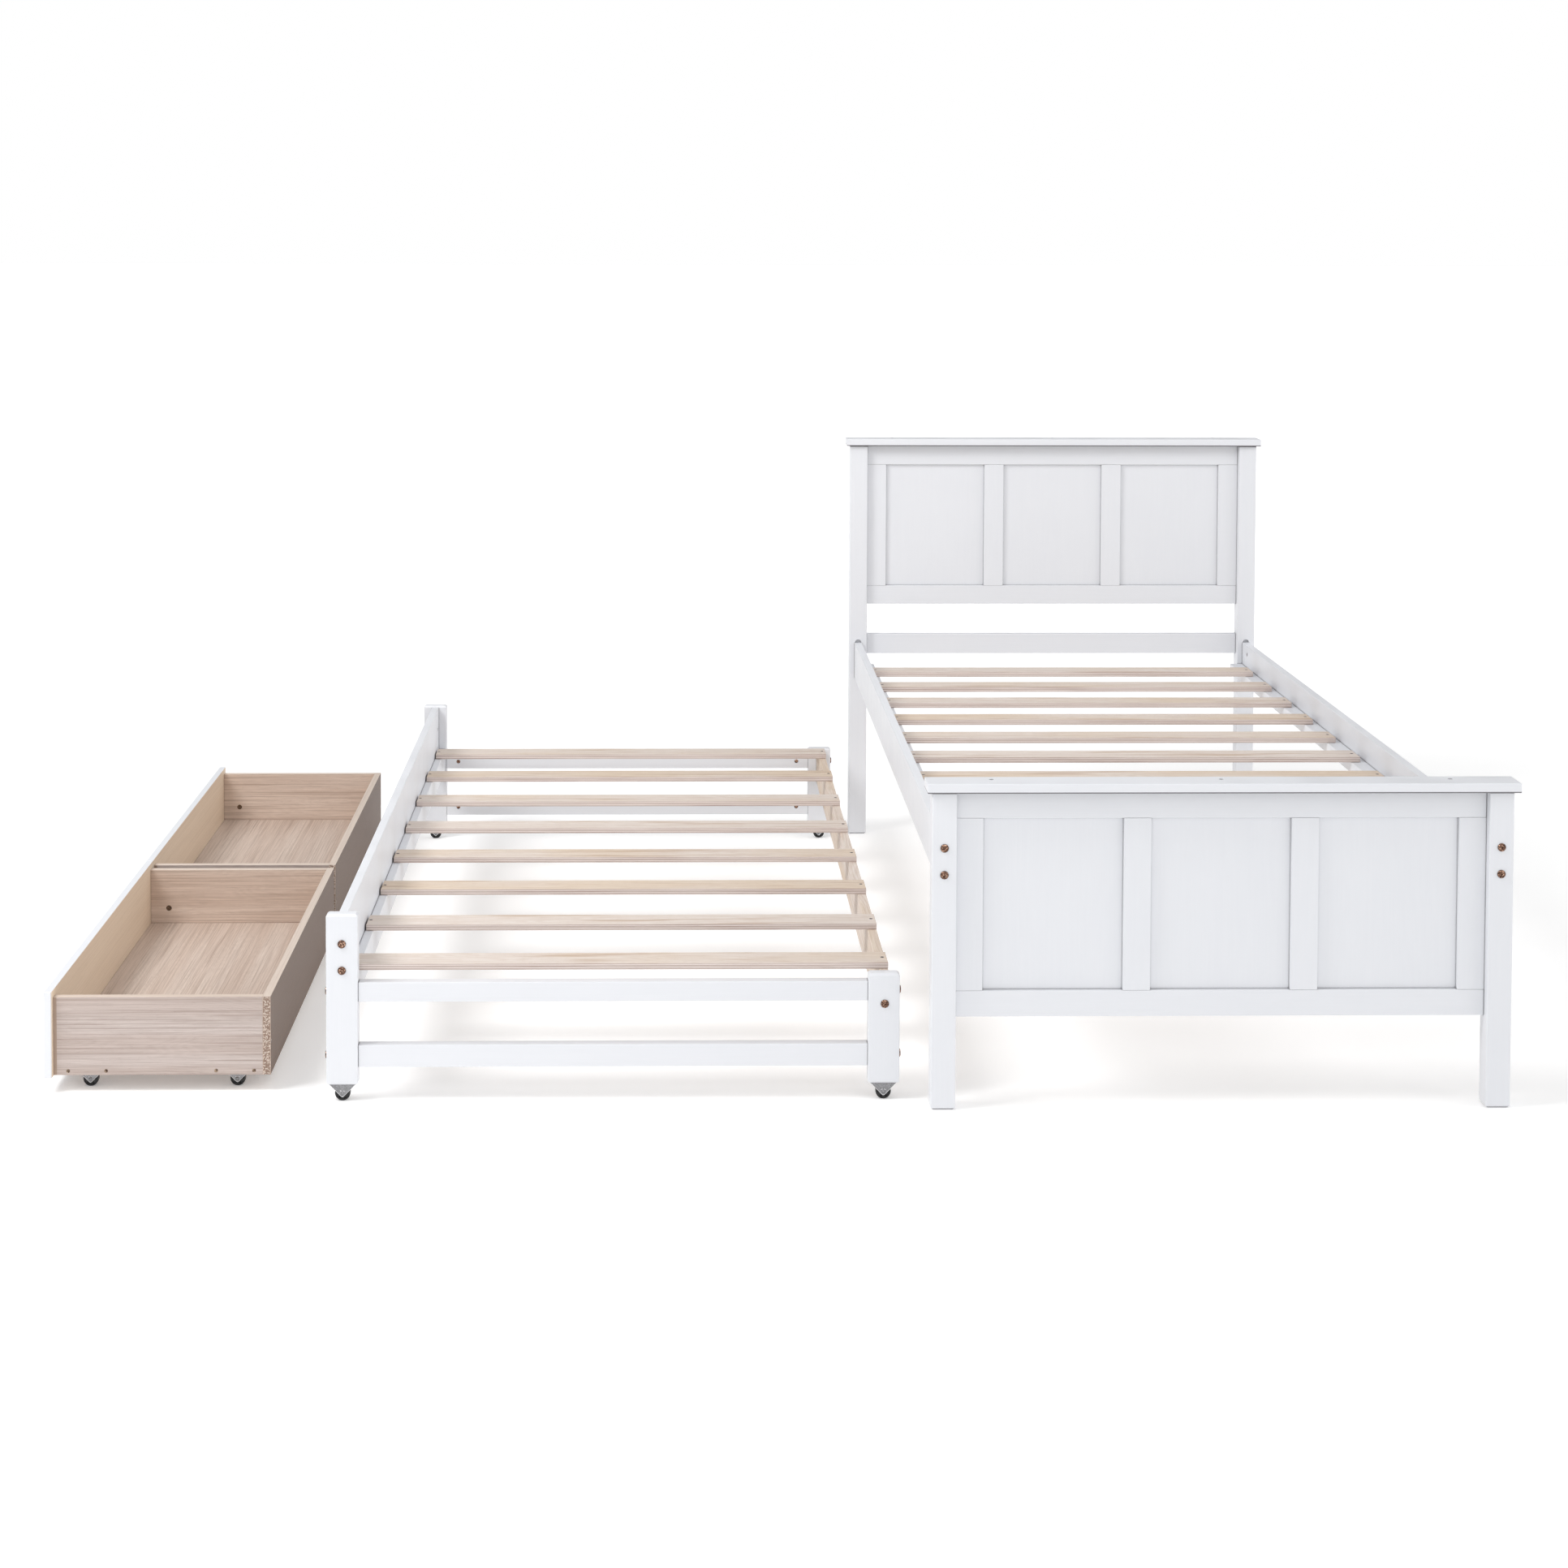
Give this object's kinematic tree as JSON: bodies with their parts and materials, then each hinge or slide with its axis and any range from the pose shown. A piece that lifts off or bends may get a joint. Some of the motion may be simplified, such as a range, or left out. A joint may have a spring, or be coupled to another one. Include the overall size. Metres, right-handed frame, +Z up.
{
  "type": "trundle bed",
  "caption": "Painted wooden single bed with panelled head and foot, a slatted trundle that rolls out from under it and rolling drawers that tuck into the trundle.",
  "frame": {"origin": "on the floor, under the middle of the whole set with the trundle and drawers rolled out", "axes": "+X across the bed, from the drawers towards the bed's far side; +Y from the footboard to the headboard; +Z up"},
  "size_m": [2.699, 2.026, 1.036],
  "materials": {
    "white_paint": "satin white lacquer on wood",
    "raw_wood": "unfinished pine and ply",
    "oak_laminate": "pale oak-grain laminate on particle board",
    "bronze_bolt": "antique bronze plating",
    "brass_screw": "yellow zinc plating",
    "zinc_steel": "zinc-plated pressed steel",
    "caster_wheel": "black moulded plastic"
  },
  "bodies": {
    "bed_frame": {"bed_barrel_nuts": "bronze_bolt", "bed_bolts": "bronze_bolt", "bed_screws": "brass_screw", "bed_slat_cleats": "white_paint", "bed_slats": "raw_wood", "footboard_bottom_rail": "white_paint", "footboard_cap": "white_paint", "footboard_panels": "white_paint", "footboard_post_left": "white_paint", "footboard_post_right": "white_paint", "footboard_stiles": "white_paint", "footboard_top_rail": "white_paint", "headboard_bottom_rail": "white_paint", "headboard_cap": "white_paint", "headboard_lower_rail": "white_paint", "headboard_panels": "white_paint", "headboard_post_left": "white_paint", "headboard_post_right": "white_paint", "headboard_stiles": "white_paint", "headboard_top_rail": "white_paint", "side_rail_left": "white_paint", "side_rail_right": "white_paint"},
    "trundle": {"trundle_back_posts": "white_paint", "trundle_back_rail": "raw_wood", "trundle_barrel_nuts": "bronze_bolt", "trundle_bolts": "bronze_bolt", "trundle_caster_forks": "zinc_steel", "trundle_foot_rails": "white_paint", "trundle_front_posts": "white_paint", "trundle_front_rail": "white_paint", "trundle_head_rails": "white_paint", "trundle_screws": "brass_screw", "trundle_slat_cleat": "white_paint", "trundle_slats": "raw_wood"},
    "drawer_foot": {"drawer_foot_back": "oak_laminate", "drawer_foot_bottom": "oak_laminate", "drawer_foot_caster_blocks": "oak_laminate", "drawer_foot_caster_forks": "zinc_steel", "drawer_foot_fasteners": "brass_screw", "drawer_foot_front": "white_paint", "drawer_foot_sides": "oak_laminate"},
    "drawer_head": {"drawer_head_back": "oak_laminate", "drawer_head_bottom": "oak_laminate", "drawer_head_caster_blocks": "oak_laminate", "drawer_head_caster_forks": "zinc_steel", "drawer_head_fasteners": "brass_screw", "drawer_head_front": "white_paint", "drawer_head_sides": "oak_laminate"},
    "drawer_foot_wheel_1": {"drawer_foot_wheel_1": "caster_wheel"},
    "drawer_foot_wheel_2": {"drawer_foot_wheel_2": "caster_wheel"},
    "drawer_foot_wheel_3": {"drawer_foot_wheel_3": "caster_wheel"},
    "drawer_foot_wheel_4": {"drawer_foot_wheel_4": "caster_wheel"},
    "drawer_head_wheel_1": {"drawer_head_wheel_1": "caster_wheel"},
    "drawer_head_wheel_2": {"drawer_head_wheel_2": "caster_wheel"},
    "drawer_head_wheel_3": {"drawer_head_wheel_3": "caster_wheel"},
    "drawer_head_wheel_4": {"drawer_head_wheel_4": "caster_wheel"},
    "trundle_wheel_1": {"trundle_wheel_1": "caster_wheel"},
    "trundle_wheel_2": {"trundle_wheel_2": "caster_wheel"},
    "trundle_wheel_3": {"trundle_wheel_3": "caster_wheel"},
    "trundle_wheel_4": {"trundle_wheel_4": "caster_wheel"}
  },
  "joints": [
    {"name": "trundle_roll", "type": "slide", "parent": "bed_frame", "child": "trundle", "axis": [1, 0, 0], "range_m": [0, 1.103]},
    {"name": "drawer_foot_roll", "type": "slide", "parent": "trundle", "child": "drawer_foot", "axis": [1, 0, 0], "range_m": [0, 0.526]},
    {"name": "drawer_head_roll", "type": "slide", "parent": "trundle", "child": "drawer_head", "axis": [1, 0, 0], "range_m": [0, 0.526]},
    {"name": "drawer_foot_wheel_1_spin", "type": "hinge", "parent": "drawer_foot", "child": "drawer_foot_wheel_1", "pos_m": [-1.2725, -0.859, 0.0143], "axis": [0, 1, 0], "continuous": true},
    {"name": "drawer_foot_wheel_2_spin", "type": "hinge", "parent": "drawer_foot", "child": "drawer_foot_wheel_2", "pos_m": [-0.9995, -0.859, 0.0143], "axis": [0, 1, 0], "continuous": true},
    {"name": "drawer_foot_wheel_3_spin", "type": "hinge", "parent": "drawer_foot", "child": "drawer_foot_wheel_3", "pos_m": [-1.2725, -0.043, 0.0143], "axis": [0, 1, 0], "continuous": true},
    {"name": "drawer_foot_wheel_4_spin", "type": "hinge", "parent": "drawer_foot", "child": "drawer_foot_wheel_4", "pos_m": [-0.9995, -0.043, 0.0143], "axis": [0, 1, 0], "continuous": true},
    {"name": "drawer_head_wheel_1_spin", "type": "hinge", "parent": "drawer_head", "child": "drawer_head_wheel_1", "pos_m": [-1.2725, 0.051, 0.0143], "axis": [0, 1, 0], "continuous": true},
    {"name": "drawer_head_wheel_2_spin", "type": "hinge", "parent": "drawer_head", "child": "drawer_head_wheel_2", "pos_m": [-0.9995, 0.051, 0.0143], "axis": [0, 1, 0], "continuous": true},
    {"name": "drawer_head_wheel_3_spin", "type": "hinge", "parent": "drawer_head", "child": "drawer_head_wheel_3", "pos_m": [-1.2725, 0.867, 0.0143], "axis": [0, 1, 0], "continuous": true},
    {"name": "drawer_head_wheel_4_spin", "type": "hinge", "parent": "drawer_head", "child": "drawer_head_wheel_4", "pos_m": [-0.9995, 0.867, 0.0143], "axis": [0, 1, 0], "continuous": true},
    {"name": "trundle_wheel_1_spin", "type": "hinge", "parent": "trundle", "child": "trundle_wheel_1", "pos_m": [-0.7945, -0.9385, 0.0143], "axis": [0, 1, 0], "continuous": true},
    {"name": "trundle_wheel_2_spin", "type": "hinge", "parent": "trundle", "child": "trundle_wheel_2", "pos_m": [-0.7945, 0.9305, 0.0143], "axis": [0, 1, 0], "continuous": true},
    {"name": "trundle_wheel_3_spin", "type": "hinge", "parent": "trundle", "child": "trundle_wheel_3", "pos_m": [0.1985, -0.9385, 0.0143], "axis": [0, 1, 0], "continuous": true},
    {"name": "trundle_wheel_4_spin", "type": "hinge", "parent": "trundle", "child": "trundle_wheel_4", "pos_m": [0.1985, 0.9305, 0.0143], "axis": [0, 1, 0], "continuous": true}
  ]
}
